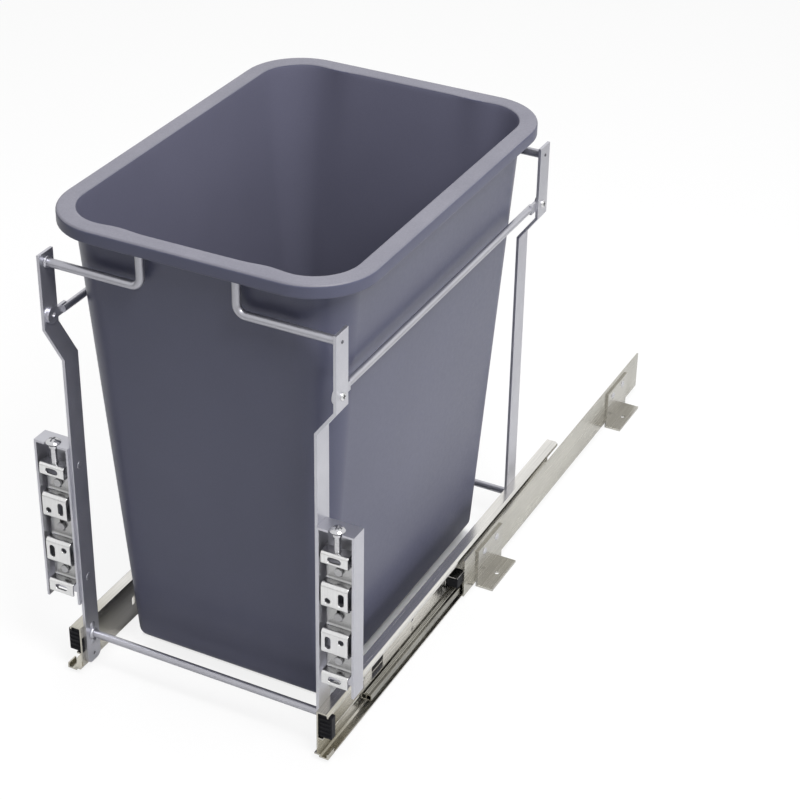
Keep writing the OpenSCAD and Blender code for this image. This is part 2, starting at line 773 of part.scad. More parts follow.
// Clamp screw along +Y at (x, z): head in front of a recess, shoulder behind it, end in the channel
module clamp_screw(x, z) {
  recess_front = strip_y + strip_recess;
  recess_back = recess_front + strip_t;
  web_front = channel_y + channel_d - channel_t;
  y_pin([x, recess_front - adjuster_gap - clamp_head_h, z], clamp_head_d, clamp_head_h);
  y_pin([x, recess_front - adjuster_gap, z], clamp_d, web_front + channel_t - recess_front + adjuster_gap);
  y_pin([x, recess_back + adjuster_gap, z], clamp_head_d, web_front - recess_back - adjuster_gap);
}

// Groups of like fasteners

module side_rod_screws() {
  color(steel) for (side = [-1, 1], y = [front_bar_y, rear_bar_y])
    on_side(side) x_screw(bar_x_top + bar_t, y, side_rod_z, bar_t + eye_t);
}

module foot_rivets() {
  color(paint) for (side = [-1, 1], y = [front_bar_y, rear_bar_y], z = foot_rivet_z)
    on_side(side) translate([2 * bar_x, 0, 0]) mirror([1, 0, 0])
      x_screw(bar_x, y, z, bar_t + rail_t);
}

module channel_rivets() {
  color(paint) for (side = [-1, 1], z = channel_rivet_z)
    on_side(side) translate([2 * bar_x, 0, 0]) mirror([1, 0, 0])
      x_screw(bar_x, front_bar_y, z, bar_t + channel_t);
}

module bracket_rivets() {
  color(steel) for (side = [-1, 1], y = bracket_y, part = [-1, 1])
    on_side(side) x_screw(rail_x + fixed_u + bracket_t, y + part * bracket_rivet_side, bracket_rivet_z,
      bracket_t + rail_t);
}

module clamp_screws() {
  color(steel) for (side = [-1, 1], z = recess_z)
    clamp_screw(side * strip_x, strip_z + z);
}

bin();
on_side(-1) upright(front_bar_y);  // front_upright_left
on_side(1) upright(front_bar_y);  // front_upright_right
on_side(-1) upright(rear_bar_y);  // rear_upright_left
on_side(1) upright(rear_bar_y);  // rear_upright_right
on_side(-1) rim_wire(front_bar_y);  // front_rim_wire_left
on_side(1) rim_wire(front_bar_y);  // front_rim_wire_right
on_side(-1) rim_wire(rear_bar_y);  // rear_rim_wire_left
on_side(1) rim_wire(rear_bar_y);  // rear_rim_wire_right
on_side(-1) side_rod();  // side_rod_left
on_side(1) side_rod();  // side_rod_right
cross_rod(front_bar_y);  // front_cross_rod
cross_rod(rear_bar_y);  // rear_cross_rod
side_rod_screws();
foot_rivets();
channel_rivets();
on_side(-1) drawer_rail();  // drawer_rail_left
on_side(1) drawer_rail();  // drawer_rail_right
on_side(-1) rail_plug();  // rail_plug_left
on_side(1) rail_plug();  // rail_plug_right
on_side(-1) middle_rail();  // middle_rail_left
on_side(1) middle_rail();  // middle_rail_right
on_side(-1) inner_cage();  // inner_cage_left
on_side(1) inner_cage();  // inner_cage_right
on_side(-1) outer_cage();  // outer_cage_left
on_side(1) outer_cage();  // outer_cage_right
on_side(-1) inner_balls();  // inner_balls_left
on_side(1) inner_balls();  // inner_balls_right
on_side(-1) outer_balls();  // outer_balls_left
on_side(1) outer_balls();  // outer_balls_right
on_side(-1) fixed_rail();  // fixed_rail_left
on_side(1) fixed_rail();  // fixed_rail_right
on_side(-1) rail_stop();  // rail_stop_left
on_side(1) rail_stop();  // rail_stop_right
on_side(-1) floor_bracket(bracket_y[0]);  // front_bracket_left
on_side(1) floor_bracket(bracket_y[0]);  // front_bracket_right
on_side(-1) floor_bracket(bracket_y[1]);  // rear_bracket_left
on_side(1) floor_bracket(bracket_y[1]);  // rear_bracket_right
bracket_rivets();
on_side(-1) door_channel();  // door_channel_left
on_side(1) door_channel();  // door_channel_right
door_strip(-strip_x);  // door_strip_left
door_strip(strip_x);  // door_strip_right
adjuster(-strip_x);  // adjuster_left
adjuster(strip_x);  // adjuster_right
clamp_screws();
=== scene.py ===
"""Looks of a pull-out bin frame: moulded bin, painted frame, rolled slides and door brackets."""
import math

import bmesh
import bpy
from mathutils import Matrix, Vector, noise


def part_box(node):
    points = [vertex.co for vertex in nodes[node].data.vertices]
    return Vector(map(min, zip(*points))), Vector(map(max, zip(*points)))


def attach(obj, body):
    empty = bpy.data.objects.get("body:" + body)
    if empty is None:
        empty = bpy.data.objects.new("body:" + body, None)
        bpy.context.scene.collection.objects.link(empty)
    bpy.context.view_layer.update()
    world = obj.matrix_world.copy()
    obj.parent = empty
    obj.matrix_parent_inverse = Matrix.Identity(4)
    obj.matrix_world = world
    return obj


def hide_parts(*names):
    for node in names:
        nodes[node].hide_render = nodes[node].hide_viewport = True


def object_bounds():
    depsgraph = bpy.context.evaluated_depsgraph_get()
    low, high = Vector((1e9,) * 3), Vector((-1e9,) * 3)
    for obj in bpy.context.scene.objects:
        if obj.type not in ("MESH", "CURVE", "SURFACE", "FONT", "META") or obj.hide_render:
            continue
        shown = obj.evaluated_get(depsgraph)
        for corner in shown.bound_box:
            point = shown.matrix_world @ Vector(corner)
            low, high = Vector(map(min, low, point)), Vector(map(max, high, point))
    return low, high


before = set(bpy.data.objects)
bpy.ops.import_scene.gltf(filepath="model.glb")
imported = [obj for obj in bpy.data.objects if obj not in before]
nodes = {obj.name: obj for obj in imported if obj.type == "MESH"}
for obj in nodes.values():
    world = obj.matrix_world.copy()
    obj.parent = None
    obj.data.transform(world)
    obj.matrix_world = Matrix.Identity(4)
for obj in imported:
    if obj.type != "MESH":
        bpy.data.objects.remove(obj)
cad_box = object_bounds()
# Lengths below are in mm unless they say otherwise, and the scene is in metres
MM = 0.001
SIDES = {"left": -1, "right": 1}
ENDS = ("front", "rear")
# Points that lie closer than this, in metres, are one point
MERGE = 1e-6


# ---------------------------------------------------------------- mesh helpers

def piece(name, bm, finish, body, stands_for=(), smooth_deg=35):
    """Turns a bmesh in metres into a piece that rides on a body."""
    mesh = bpy.data.meshes.new(name)
    bm.to_mesh(mesh)
    bm.free()
    mesh.shade_smooth()
    mesh.set_sharp_from_angle(angle=math.radians(smooth_deg))
    mesh.materials.append(finish)
    obj = bpy.data.objects.new(name, mesh)
    bpy.context.scene.collection.objects.link(obj)
    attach(obj, body)
    if stands_for:
        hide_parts(*stands_for)
    return obj


def chain(bm, points):
    """Open line of vertices through the points. Gives its vertices and edges."""
    verts = [bm.verts.new(p) for p in points]
    return verts, [bm.edges.new(pair) for pair in zip(verts, verts[1:])]


def loop(bm, points):
    """Closed line of vertices through the points. Gives its vertices and edges."""
    verts = [bm.verts.new(p) for p in points]
    return verts, [bm.edges.new((verts[i - 1], verts[i])) for i in range(len(verts))]


def arc(centre, radius, start_deg, end_deg, steps):
    """Points (a, b) along an arc."""
    turns = [math.radians(start_deg + (end_deg - start_deg) * i / steps) for i in range(steps + 1)]
    return [(centre[0] + radius * math.cos(t), centre[1] + radius * math.sin(t)) for t in turns]


def circle(radius, count):
    """Points (a, b) of a closed circle."""
    return arc((0, 0), radius, 0, 360 - 360 / count, count - 1)


def extruded(bm, edges, along=(0, 0, 0)):
    """Extrudes edges along a way. Gives the new vertices and the new edges between them."""
    made = bmesh.ops.extrude_edge_only(bm, edges=edges)["geom"]
    verts = [g for g in made if isinstance(g, bmesh.types.BMVert)]
    bmesh.ops.translate(bm, verts=verts, vec=along)
    held = set(verts)
    far = [g for g in made if isinstance(g, bmesh.types.BMEdge) and held.issuperset(g.verts)]
    return verts, far


def ring_of(bm, centre, axis, radius, profile, steps=24):
    """Spins a closed profile of (out, along) in mm round an axis through the centre."""
    axis = Vector(axis)
    out = axis.orthogonal().normalized()
    verts, edges = loop(bm, [centre + out * (radius + a) * MM + axis * b * MM for a, b in profile])
    bmesh.ops.spin(bm, geom=verts + edges, cent=centre, axis=axis, angle=2 * math.pi,
                   steps=steps, use_merge=True)


def block(bm, middle, size, rounding, steps=2):
    """Rounded block, with its middle and size in metres and its rounding in mm."""
    place = Matrix.Translation(middle) @ Matrix.Diagonal((*size, 1))
    made = bmesh.ops.create_cube(bm, size=1, matrix=place)["verts"]
    bmesh.ops.bevel(bm, geom=list({e for v in made for e in v.link_edges}), offset=rounding * MM,
                    affect="EDGES", segments=steps, profile=0.5, material=-1)


def bent_path(points, radii, steps=6):
    """Line through the points with each inner corner turned round its radius. Gives (a, b) rows."""
    rows = [points[0]]
    for before, corner, after, radius in zip(points, points[1:], points[2:], radii):
        corner = Vector(corner)
        into = (Vector(before) - corner).normalized() * radius
        away = (Vector(after) - corner).normalized() * radius
        centre = corner + into + away
        for i in range(steps + 1):
            t = math.pi / 2 * i / steps
            rows.append(tuple(centre - away * math.cos(t) - into * math.sin(t)))
    return rows + [points[-1]]


SLOT_END_STEPS = 10
HOLE_POINTS = 20


def slot_edges(bm, width, length, upright, place):
    """Closed outline of a round-ended slot, each point put in space by the given function."""
    half = (length - width) / 2
    outline = (arc((0, half), width / 2, 0, 180, SLOT_END_STEPS)
               + arc((0, -half), width / 2, 180, 360, SLOT_END_STEPS))
    if half == 0:
        outline = circle(width / 2, HOLE_POINTS)
    return loop(bm, [place(*((a, b) if upright else (b, a))) for a, b in outline])[1]


def pierce(bm, face, slots, place):
    """Cuts slots in a flat face, each given as its middle (a, b), width, length and upright."""
    rim = list(face.edges)
    bmesh.ops.delete(bm, geom=[face], context="FACES_ONLY")
    for a0, b0, width, length, upright in slots:
        rim += slot_edges(bm, width, length, upright, lambda a, b: place(a0 + a, b0 + b))
    bmesh.ops.triangle_fill(bm, edges=rim, use_beauty=True)


def merged_copy(name):
    """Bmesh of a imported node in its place, with its loose triangles joined."""
    bm = bmesh.new()
    bm.from_mesh(nodes[name].data)
    bm.transform(nodes[name].matrix_world)
    bmesh.ops.remove_doubles(bm, verts=bm.verts, dist=MERGE)
    return bm


def face_outwards(bm):
    """Turns all faces outwards."""
    bmesh.ops.recalc_face_normals(bm, faces=bm.faces)


# ---------------------------------------------------------------- shader helpers

# Band in which most of a noise value lies
NOISE_BAND = (0.3, 0.7)
WHITE = (1, 1, 1)


def shader(name):
    """New node material with one Principled shader. Gives the material, its tree and the shader."""
    mat = bpy.data.materials.new(name)
    mat.use_nodes = True
    tree = mat.node_tree
    tree.nodes.clear()
    out = tree.nodes.new("ShaderNodeOutputMaterial")
    bsdf = tree.nodes.new("ShaderNodeBsdfPrincipled")
    tree.links.new(bsdf.outputs["BSDF"], out.inputs["Surface"])
    return mat, tree, bsdf


def grain(tree, per_metre, stretch=(1, 1, 1), detail=3.0, roughness=0.55):
    """Noise on Object coordinates, with its cycles per metre along each stretched axis."""
    coord = tree.nodes.new("ShaderNodeTexCoord")
    place = tree.nodes.new("ShaderNodeMapping")
    place.inputs["Scale"].default_value = [per_metre * s for s in stretch]
    tex = tree.nodes.new("ShaderNodeTexNoise")
    tex.inputs["Scale"].default_value = 1.0
    tex.inputs["Detail"].default_value = detail
    tex.inputs["Roughness"].default_value = roughness
    tree.links.new(coord.outputs["Object"], place.inputs["Vector"])
    tree.links.new(place.outputs["Vector"], tex.inputs["Vector"])
    return tex.outputs["Fac"]


def remap(tree, value, given, wanted, smooth=False):
    """Maps a value from one (low, high) pair onto another."""
    node = tree.nodes.new("ShaderNodeMapRange")
    if smooth:
        node.interpolation_type = "SMOOTHSTEP"
    for socket, number in zip(("From Min", "From Max", "To Min", "To Max"), (*given, *wanted)):
        node.inputs[socket].default_value = number
    tree.links.new(value, node.inputs["Value"])
    return node.outputs["Result"]


def place_along(tree, axis):
    """Place of a surface point along an axis of its object."""
    coord = tree.nodes.new("ShaderNodeTexCoord")
    parts = tree.nodes.new("ShaderNodeSeparateXYZ")
    tree.links.new(coord.outputs["Object"], parts.inputs["Vector"])
    return parts.outputs[axis]


def rise(tree, axis, start, end):
    """Value that crosses the noise band between two places along an axis of the object."""
    return remap(tree, place_along(tree, axis), (start, end), NOISE_BAND)


def tint(tree, value, dark, light):
    """Colour ramp between two colours over the noise band."""
    ramp = tree.nodes.new("ShaderNodeValToRGB")
    for stop, position, colour in zip(ramp.color_ramp.elements, NOISE_BAND, (dark, light)):
        stop.position = position
        stop.color = (*colour, 1)
    tree.links.new(value, ramp.inputs["Fac"])
    return ramp.outputs["Color"]


def darkened(tree, share, first, second):
    """Colour multiplied by a second one, by the given share."""
    node = tree.nodes.new("ShaderNodeMix")
    node.data_type = "RGBA"
    node.blend_type = "MULTIPLY"
    node.inputs["Factor"].default_value = share
    tree.links.new(first, node.inputs["A"])
    tree.links.new(second, node.inputs["B"])
    return node.outputs["Result"]


def maths(tree, operation, *values):
    """Value worked out from sockets and numbers."""
    node = tree.nodes.new("ShaderNodeMath")
    node.operation = operation
    for socket, value in zip(node.inputs, values):
        if isinstance(value, bpy.types.NodeSocket):
            tree.links.new(value, socket)
        else:
            socket.default_value = value
    return node.outputs[0]


def set_speckled(tree, bsdf, colour, per_metre, detail, dark, share):
    """Base colour with fine specks of a darker tone."""
    specks = tint(tree, grain(tree, per_metre, detail=detail), dark, WHITE)
    tree.links.new(darkened(tree, share, colour, specks), bsdf.inputs["Base Color"])


def set_rough(tree, bsdf, value, low, high):
    """Roughness that varies with a noise value."""
    tree.links.new(remap(tree, value, NOISE_BAND, (low, high)), bsdf.inputs["Roughness"])


def set_bump(tree, bsdf, height, depth, strength):
    """Bump of the given depth in metres."""
    node = tree.nodes.new("ShaderNodeBump")
    node.inputs["Strength"].default_value = strength
    node.inputs["Distance"].default_value = depth
    tree.links.new(height, node.inputs["Height"])
    tree.links.new(node.outputs["Normal"], bsdf.inputs["Normal"])


# ---------------------------------------------------------------- finishes

def satin_bin_plastic(name="satin_bin_plastic", foot=None, mouth=None):
    """Satin moulded plastic; where shares are given, painted shade at the foot of the bin rising to
    painted light at its mouth.
    """
    mat, tree, bsdf = shader(name)
    slow = grain(tree, per_metre=5)
    colour = tint(tree, slow, dark=(0.085, 0.089, 0.137), light=(0.098, 0.102, 0.156))
    if foot:
        low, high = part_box("bin")
        # Painted shade at the foot rising to painted light at the mouth
        tone = tint(tree, rise(tree, "Z", low.z, high.z), foot, mouth)
        colour = darkened(tree, 1.0, colour, tone)
    set_speckled(tree, bsdf, colour, per_metre=1100, detail=2, dark=(0.86, 0.86, 0.88), share=0.5)
    bsdf.inputs["Specular IOR Level"].default_value = 0.28
    set_rough(tree, bsdf, grain(tree, per_metre=240), low=0.28, high=0.34)
    set_bump(tree, bsdf, grain(tree, per_metre=1700, detail=2), depth=0.00005, strength=0.4)
    return mat


def rim_top_painted_light():
    """Finely eroded top of the rim, rougher than the satin walls; its lighter colour is painted
    light falling on the top.
    """
    mat, tree, bsdf = shader("rim_top_painted_light")
    slow = grain(tree, per_metre=18)
    colour = tint(tree, slow, dark=(0.150, 0.149, 0.180), light=(0.176, 0.174, 0.206))
    set_speckled(tree, bsdf, colour, per_metre=1500, detail=3, dark=(0.74, 0.74, 0.76), share=0.7)
    set_rough(tree, bsdf, grain(tree, per_metre=500), low=0.42, high=0.56)
    set_bump(tree, bsdf, grain(tree, per_metre=1500), depth=0.0001, strength=0.6)
    return mat


def silver_paint(name, dark, light):
    """Metallic powder coat with fine flakes."""
    mat, tree, bsdf = shader(name)
    colour = tint(tree, grain(tree, per_metre=14), dark, light)
    set_speckled(tree, bsdf, colour, per_metre=2600, detail=1, dark=(0.84, 0.84, 0.87), share=0.8)
    bsdf.inputs["Metallic"].default_value = 0.9
    set_rough(tree, bsdf, grain(tree, per_metre=120), low=0.30, high=0.40)
    set_bump(tree, bsdf, grain(tree, per_metre=420, detail=2), depth=0.00008, strength=0.35)
    return mat


# How much slower the drawing lines of sheet change along it than across it
LINE_STRETCH = 0.008


def rolled_steel(name, dark, light, along, rough=(0.16, 0.30), line_depth=0.7, shaded=None):
    """Plated sheet with slow blotches, drawing lines along an axis and painted light along its
    depth.
    """
    mat, tree, bsdf = shader(name)
    stretch = [LINE_STRETCH if axis == along else 1 for axis in "XYZ"]
    lines = grain(tree, 900, stretch, detail=4, roughness=0.7)
    fine = tint(tree, lines, (0.66, 0.66, 0.66), WHITE)
    blotches = tint(tree, grain(tree, per_metre=22), dark, light)
    colour = darkened(tree, line_depth, blotches, fine)
    if shaded:
        start, end, near, far = shaded
        # Painted light that changes along the depth
        tone = tint(tree, rise(tree, "Y", start, end), near, far)
        colour = darkened(tree, 1.0, colour, tone)
    tree.links.new(colour, bsdf.inputs["Base Color"])
    bsdf.inputs["Metallic"].default_value = 1.0
    set_rough(tree, bsdf, lines, *rough)
    set_bump(tree, bsdf, lines, depth=0.00004, strength=0.35)
    return mat


def black_moulding():
    """Matt black plastic of the plugs, stops and catches."""
    mat, tree, bsdf = shader("black_moulding")
    fine = grain(tree, per_metre=300)
    colour = tint(tree, fine, dark=(0.006, 0.006, 0.008), light=(0.013, 0.013, 0.016))
    tree.links.new(colour, bsdf.inputs["Base Color"])
    bsdf.inputs["Specular IOR Level"].default_value = 0.1
    set_rough(tree, bsdf, grain(tree, per_metre=90), low=0.36, high=0.48)
    set_bump(tree, bsdf, grain(tree, per_metre=1800, detail=2), depth=0.00005, strength=0.4)
    return mat


STRIP_T = 2
STRIP_RECESS = 9
# Painted light along the depth: where each one starts and ends in metres, and its share of the
# colour there. The recesses of the door strips get painted shade, the front of the drawer rails a
# painted warm reflection
STRIP_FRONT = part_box("door_strip_right")[0].y
PAINTED_RECESS_SHADE = (STRIP_FRONT + STRIP_T * MM, STRIP_FRONT + STRIP_RECESS * MM,
               WHITE, (0.55, 0.55, 0.55))
# Front of the drawer rails: darker and warmer from 25 to 75 mm behind the front, a painted
# reflection of warm surroundings
RAIL_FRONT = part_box("drawer_rail_right")[0].y
RAIL_END_PAINTED_REFLECTION = (RAIL_FRONT + 25 * MM, RAIL_FRONT + 75 * MM, (0.70, 0.685, 0.63), WHITE)

# Finish of each material slot
FINISHES = {
    "bin_plastic": satin_bin_plastic(),
    "frame_paint": silver_paint("silver_paint", (0.52, 0.52, 0.56), (0.60, 0.60, 0.635)),
    "slide_steel": rolled_steel("slide_zinc", (0.52, 0.505, 0.455), (0.62, 0.605, 0.55), "Y"),
    "cage_steel": rolled_steel("cage_zinc", (0.52, 0.50, 0.45), (0.62, 0.60, 0.55), "Y"),
    "ball_steel": rolled_steel("ball_chrome", (0.72, 0.72, 0.74), (0.80, 0.80, 0.82), "Z",
                               rough=(0.08, 0.16)),
    "black_plastic": black_moulding(),
    # Door strips: recesses darkened as painted shade
    "door_zinc": rolled_steel("bright_zinc", (0.74, 0.74, 0.74), (0.82, 0.82, 0.82), "Z",
                              rough=(0.18, 0.26), line_depth=0.35, shaded=PAINTED_RECESS_SHADE),
    "bracket_zinc": rolled_steel("floor_bracket_zinc", (0.52, 0.505, 0.465), (0.62, 0.605, 0.56),
                                 "Y"),
    "screw_steel": rolled_steel("screw_chrome", (0.56, 0.56, 0.58), (0.66, 0.66, 0.68), "X",
                                rough=(0.12, 0.22), line_depth=0.4),
}
# Rim top colour, lighter than the walls: painted light on the top
RIM_TOP_PAINTED_LIGHT = rim_top_painted_light()
# Inside walls: darker at the foot as painted shade, lighter at the mouth as painted light
INSIDE_PAINTED_LIGHT_FINISH = satin_bin_plastic("inside_bin_painted_light", foot=(0.72, 0.69, 0.60),
                                  mouth=(1.66, 1.60, 1.46))
HEAD_FINISH = rolled_steel("polished_head", (0.66, 0.66, 0.67), (0.78, 0.78, 0.79), "X",
                           rough=(0.14, 0.24), line_depth=0.4)
# Near-black copy of the frame paint: painted shade in screw recesses and punched rings
PAINTED_HOLE_SHADE = silver_paint("painted_hole_shade", (0.09, 0.09, 0.10), (0.14, 0.14, 0.155))
# Darker copy of the frame paint: painted shade against the light that rods and wires catch from
# above; the foot rivets take it too
ROD_PAINT_WITH_PAINTED_SHADE = silver_paint("rod_paint", (0.42, 0.42, 0.455), (0.49, 0.49, 0.525))
# Finishes of the nodes that look unlike the rest of their slot
OWN_FINISHES = {
    # Drawer rails: a lighter copy of the slide zinc as painted reflection of bright surroundings,
    # with the painted warm reflection at the front
    "drawer_rail": rolled_steel("bright_rail_zinc", (0.78, 0.765, 0.73), (0.88, 0.865, 0.83), "Y",
                                rough=(0.16, 0.28), line_depth=0.6, shaded=RAIL_END_PAINTED_REFLECTION),
    # Middle rail: darker than its own ridges, which take the lighter slide steel as painted
    # highlights
    "middle_rail": rolled_steel("ridged_rail_zinc", (0.30, 0.29, 0.26), (0.44, 0.43, 0.385), "Y",
                                line_depth=1.0),
    # Rods, wires and foot rivets: the darker frame paint as painted shade
    "side_rod": FINISHES["frame_paint"], "cross_rod": ROD_PAINT_WITH_PAINTED_SHADE, "rim_wire": ROD_PAINT_WITH_PAINTED_SHADE,
    "foot_rivets": ROD_PAINT_WITH_PAINTED_SHADE,
    "clamp_screws": rolled_steel("clamp_steel", (0.36, 0.36, 0.37), (0.48, 0.48, 0.49), "X",
                                 line_depth=0.6),
}

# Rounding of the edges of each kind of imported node, in mm
EDGE_ROUNDING = {
    "upright": 0.6, "drawer_rail": 0.4, "middle_rail": 0.3, "fixed_rail": 0.4, "bracket": 0.6,
    "door_channel": 1.0, "door_strip": 0.8, "rail_stop": 1.0, "rail_plug": 0.8, "adjuster": 0.25,
    "side_rod": 0.4, "clamp_screws": 0.5,
}


def round_edges(obj, width, segments, from_deg):
    """Rounds the edges of a piece that are sharper than an angle."""
    edge = obj.modifiers.new("edge", "BEVEL")
    edge.width = width * MM
    edge.segments = segments
    edge.limit_method = "ANGLE"
    edge.angle_limit = math.radians(from_deg)
    shade = obj.modifiers.new("shade", "WEIGHTED_NORMAL")
    shade.keep_sharp = False


def soften(obj, width):
    """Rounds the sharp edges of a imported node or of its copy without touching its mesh."""
    weld = obj.modifiers.new("weld", "WELD")
    weld.merge_threshold = MERGE
    flat = obj.modifiers.new("flat", "DECIMATE")
    flat.decimate_type = "DISSOLVE"
    flat.angle_limit = math.radians(1)
    round_edges(obj, width, segments=3, from_deg=40)


def kind_of(name):
    """Name of a node without its side and its end."""
    return "_".join(word for word in name.split("_") if word not in SIDES and word not in ENDS)


def dress_cad_nodes():
    """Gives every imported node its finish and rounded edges."""
    for name, obj in nodes.items():
        kind = kind_of(name)
        for held in obj.material_slots:
            held.material = OWN_FINISHES.get(kind) or FINISHES[held.material.name.split(".")[0]]
        if kind in EDGE_ROUNDING:
            soften(obj, EDGE_ROUNDING[kind])


# ---------------------------------------------------------------- bin

# Bin: wall, taper of each side, fillet of the foot, corner radius, overhang and skirt of the rim
BIN_WALL = 2.2
BIN_TAPER = 30.5
BIN_FOOT_FILLET = 9
BIN_RIM_R = 52
BIN_RIM_OVER = 13
BIN_SKIRT_H = 11
BIN_SKIRT_T = 2
BIN_CORNER_STEPS = 14
# Rows of the wall: shares of its height, and depths under the mouth in mm
WALL_ROWS = (0.2, 0.4, 0.6, 0.8)
MOUTH_ROWS = (6, 3)
# Flat top of the rim: where it starts from the inner wall and ends before the outer edge
RIM_FLAT_IN = 5
RIM_FLAT_OUT = 6
# Radii of the inner and outer edges of the rim, of its skirt, and of the roots of skirt and wall
MOUTH_EDGE_R = 1.5
RIM_EDGE_R = 2.4
SKIRT_EDGE_R = 0.7
SKIRT_ROOT_R = 1
WALL_ROOT_R = 1.5
# Faces of the grained rim top, whose colour is painted lighter as light on the top: how far they
# lie under the mouth, and the least rise of their normal
RIM_TOP_DEPTH = 3
RIM_TOP_RISE = 0.5


def bin_profile(height, rim):
    """Wall section of the bin as (r, z) in mm, from the middle of its floor to its underside."""
    lean = BIN_TAPER / height
    tilt = math.degrees(math.atan(lean))
    foot = rim - BIN_RIM_OVER - BIN_TAPER
    fillet_r = foot + BIN_FOOT_FILLET * lean - BIN_FOOT_FILLET / math.cos(math.radians(tilt))
    fillet = (fillet_r, BIN_FOOT_FILLET)
    under, low, lip = height - BIN_WALL, height - BIN_SKIRT_H, rim - BIN_SKIRT_T

    def outside(z):
        return foot + z * lean

    def inside(z):
        return outside(z) - BIN_WALL

    return [
        (0, BIN_WALL), *arc(fillet, BIN_FOOT_FILLET - BIN_WALL, -90, -tilt, 6),
        *((inside(height * k), height * k) for k in WALL_ROWS),
        *((inside(height - drop), height - drop) for drop in MOUTH_ROWS),
        *arc((inside(height) + MOUTH_EDGE_R, height - MOUTH_EDGE_R), MOUTH_EDGE_R, 180, 90, 4),
        (inside(height) + RIM_FLAT_IN, height), (rim - RIM_FLAT_OUT, height),
        *arc((rim - RIM_EDGE_R, height - RIM_EDGE_R), RIM_EDGE_R, 90, 0, 6),
        (rim, low + BIN_SKIRT_T),
        *arc((rim - SKIRT_EDGE_R, low + SKIRT_EDGE_R), SKIRT_EDGE_R, 0, -90, 3),
        *arc((lip + SKIRT_EDGE_R, low + SKIRT_EDGE_R), SKIRT_EDGE_R, -90, -180, 3),
        *arc((lip - SKIRT_ROOT_R, under - SKIRT_ROOT_R), SKIRT_ROOT_R, 0, 90, 3),
        *arc((outside(under) + WALL_ROOT_R, under - WALL_ROOT_R), WALL_ROOT_R, 90, 180, 3),
        *((outside(height * k), height * k) for k in reversed(WALL_ROWS)),
        *arc(fillet, BIN_FOOT_FILLET, -tilt, -90, 6), (0, 0)]


# Inward bulges of the inner rim edge, front and rear: place, half width, depth, height and reach
BULGE_X = 63
BULGE_HALF = 9
BULGE_DEPTH = 2
BULGE_FADE = 14
BULGE_REACH = 3
BULGE_CUTS = 48
# Slack, in metres, for telling the straight walls from the corners
CORNER_SLACK = 1e-5


def grip_bulges(bm, middle, half_x, half_y, top):
    """Pushes four soft bulges out of the inner edge of the front and rear rim."""
    long_edges = [e for e in bm.edges
                  if all(abs(v.co.y - middle.y) > half_y + CORNER_SLACK for v in e.verts)
                  and abs(e.verts[0].co.x - e.verts[1].co.x) > half_x]
    bmesh.ops.subdivide_edges(bm, edges=long_edges, cuts=BULGE_CUTS, use_grid_fill=True)
    inner = half_y + (BIN_RIM_R - BIN_RIM_OVER + BULGE_REACH) * MM
    for v in bm.verts:
        side = v.co.y - middle.y
        drop = (top - v.co.z) / MM
        by_edge = half_y < abs(side) < inner and drop < BULGE_FADE
        if by_edge and abs(v.co.x) <= half_x + CORNER_SLACK:
            along = (abs(v.co.x) / MM - BULGE_X) / BULGE_HALF
            push = BULGE_DEPTH * MM * math.exp(-along * along / 2) * (1 - drop / BULGE_FADE)
            v.co.y -= math.copysign(push, side)


def rounded_shell(middle, half_x, half_y, foot, profile):
    """Bmesh of the wall section spun round four corners and bridged between them."""
    bm = bmesh.new()
    starts, ends = [], []
    for i, (sx, sy) in enumerate(((1, 1), (-1, 1), (-1, -1), (1, -1))):
        centre = Vector((middle.x + sx * half_x, middle.y + sy * half_y, foot))
        turn = Matrix.Rotation(math.pi / 2 * i, 3, "Z")
        verts, edges = chain(bm, [centre + turn @ Vector((r * MM, 0, z * MM)) for r, z in profile])
        done = bmesh.ops.spin(bm, geom=verts + edges, cent=centre, axis=(0, 0, 1),
                              angle=math.pi / 2, steps=BIN_CORNER_STEPS)
        starts.append(edges)
        ends.append([g for g in done["geom_last"] if isinstance(g, bmesh.types.BMEdge)])
    for i in range(4):
        bmesh.ops.bridge_loops(bm, edges=ends[i] + starts[(i + 1) % 4])
    bmesh.ops.remove_doubles(bm, verts=bm.verts, dist=MERGE)
    bmesh.ops.holes_fill(bm, edges=[e for e in bm.edges if e.is_boundary], sides=4)
    return bm


def moulded_bin():
    """Thin-walled bin with rounded corners and a turned-down rim."""
    low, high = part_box("bin")
    middle = (low + high) / 2
    half_x = (high.x - low.x) / 2 - BIN_RIM_R * MM
    half_y = (high.y - low.y) / 2 - BIN_RIM_R * MM
    profile = bin_profile((high.z - low.z) / MM, BIN_RIM_R)
    bm = rounded_shell(middle, half_x, half_y, low.z, profile)
    grip_bulges(bm, middle, half_x, half_y, high.z)
    face_outwards(bm)
    for face in bm.faces:
        spot = face.calc_center_median()
        # Upward faces of the rim top take the lighter colour as painted light
        if face.normal.z > RIM_TOP_RISE and spot.z > high.z - RIM_TOP_DEPTH * MM:
            face.material_index = 1
        # Inner wall faces take the inside finish with its painted shade and light
        elif (spot - middle).xy.dot(face.normal.xy) < 0 and spot.z < high.z - BIN_SKIRT_T * MM:
            face.material_index = 2
    shell = piece("bin_shell", bm, FINISHES["bin_plastic"], "bin", ["bin"],
                  smooth_deg=50)
    shell.data.materials.append(RIM_TOP_PAINTED_LIGHT)
    shell.data.materials.append(INSIDE_PAINTED_LIGHT_FINISH)


# ---------------------------------------------------------------- welds, screws and rivets

# Radius of a weld's section on a rod, and its share on a wire
WELD_R = 1.5
WIRE_WELD_SHARE = 0.8
# Middle of a weld's section: out from the rod or wire, and in from its end
ROD_WELD = (0.2, 0.6)
WIRE_WELD = (0.1, 0.5)
# Points round the section of a weld or a punched ring
BEAD_POINTS = 8
# Lumps of a weld per metre, their height in metres, and the seed that keeps them the same each run
WELD_LUMPS = 700
WELD_LUMP_H = 0.00035
WELD_SEED = 1


